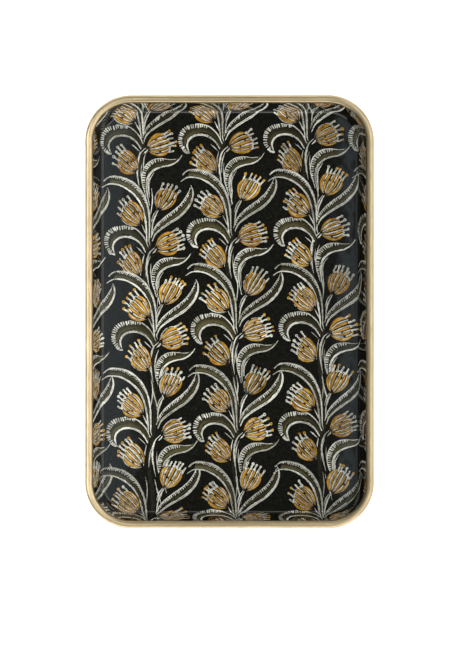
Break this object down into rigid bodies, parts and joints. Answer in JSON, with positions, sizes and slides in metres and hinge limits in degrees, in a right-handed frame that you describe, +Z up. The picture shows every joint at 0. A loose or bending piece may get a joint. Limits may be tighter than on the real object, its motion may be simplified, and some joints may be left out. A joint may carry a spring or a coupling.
{
  "type": "serving tray",
  "caption": "Small rectangular metal serving tray with round corners, a leaning wall, a rolled brass-bound rim and a black well with a printed vine pattern.",
  "frame": {"origin": "centre of the flat underside, on the surface that the tray stands on", "axes": "+X along the short side, +Y along the long side, +Z up out of the well"},
  "size_m": [0.2, 0.3, 0.02],
  "materials": {
    "pan_black": "black stoved enamel, satin",
    "wire_steel": "plain drawn wire",
    "rim_brass": "satin, lightly aged",
    "liner_ground": "near-black, printed with a vine in cream, ochre, orange-brown and dark olive, under a glossy clear coat"
  },
  "bodies": {
    "root": {"tray_pan": "pan_black", "edge_wire": "wire_steel", "rim_band": "rim_brass", "printed_liner": "liner_ground"}
  },
  "joints": []
}
